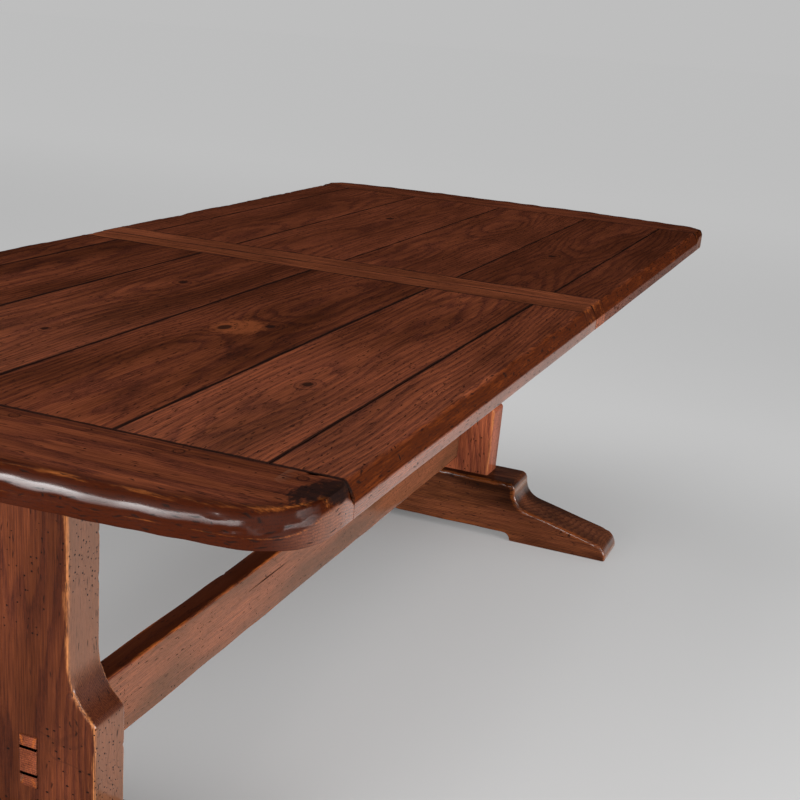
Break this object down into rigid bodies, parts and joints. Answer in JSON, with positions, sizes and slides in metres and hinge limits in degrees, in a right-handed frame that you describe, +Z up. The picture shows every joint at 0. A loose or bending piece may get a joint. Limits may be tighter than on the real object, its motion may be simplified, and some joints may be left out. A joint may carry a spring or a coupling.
{
  "type": "tavern table",
  "caption": "Long trestle tavern table with a breadboard plank top in two halves that draw apart on wooden slides.",
  "frame": {"origin": "on the floor, under the middle of the table", "axes": "+X along the table from its near end to its far end, +Y to the left side seen from the near end, +Z up"},
  "size_m": [2.3298, 0.964, 0.762],
  "materials": {
    "top_planks": "worn dark stain, waxed",
    "end_cleats": "worn dark stain, waxed",
    "inner_cleats": "worn stain, waxed",
    "pegs": "dark stain",
    "base_timber": "dark stain, waxed",
    "slide_timber": "unstained, dry waxed",
    "catch_iron": "blackened",
    "screw_steel": "dull"
  },
  "bodies": {
    "base": {"near_head": "base_timber", "near_post": "base_timber", "near_foot": "base_timber", "near_post_pegs": "pegs", "near_tenon_wedges": "pegs", "far_head": "base_timber", "far_post": "base_timber", "far_foot": "base_timber", "far_post_pegs": "pegs", "far_tenon_wedges": "pegs", "stretcher": "base_timber", "left_slide_rail": "slide_timber", "right_slide_rail": "slide_timber", "rail_screws": "screw_steel"},
    "near_top": {"near_plank_1": "top_planks", "near_plank_2": "top_planks", "near_plank_3": "top_planks", "near_plank_4": "top_planks", "near_plank_5": "top_planks", "near_plank_6": "top_planks", "near_end_cleat": "end_cleats", "near_inner_cleat": "inner_cleats", "near_cleat_pegs": "pegs", "near_left_runner": "slide_timber", "near_right_runner": "slide_timber", "near_runner_screws": "screw_steel", "near_stop_block": "slide_timber", "near_stop_screws": "screw_steel", "joint_dowels": "pegs", "left_catch_plate": "catch_iron", "right_catch_plate": "catch_iron", "catch_screws": "screw_steel"},
    "far_top": {"far_plank_1": "top_planks", "far_plank_2": "top_planks", "far_plank_3": "top_planks", "far_plank_4": "top_planks", "far_plank_5": "top_planks", "far_plank_6": "top_planks", "far_end_cleat": "end_cleats", "far_inner_cleat": "inner_cleats", "far_cleat_pegs": "pegs", "far_left_runner": "slide_timber", "far_right_runner": "slide_timber", "far_runner_screws": "screw_steel", "far_stop_block": "slide_timber", "far_stop_screws": "screw_steel", "left_keeper_plate": "catch_iron", "right_keeper_plate": "catch_iron", "keeper_screws": "screw_steel"},
    "left_catch": {"left_catch_lever": "catch_iron"},
    "right_catch": {"right_catch_lever": "catch_iron"}
  },
  "joints": [
    {"name": "near_top_slide", "type": "slide", "parent": "base", "child": "near_top", "axis": [-1, 0, 0], "range_m": [0, 0.25]},
    {"name": "far_top_slide", "type": "slide", "parent": "base", "child": "far_top", "axis": [1, 0, 0], "range_m": [0, 0.25]},
    {"name": "left_catch_turn", "type": "hinge", "parent": "near_top", "child": "left_catch", "pos_m": [-0.03, 0.372, 0.7173], "axis": [0, 0, -1], "range_deg": [0, 90]},
    {"name": "right_catch_turn", "type": "hinge", "parent": "near_top", "child": "right_catch", "pos_m": [-0.03, -0.372, 0.7173], "axis": [0, 0, 1], "range_deg": [0, 90]}
  ]
}
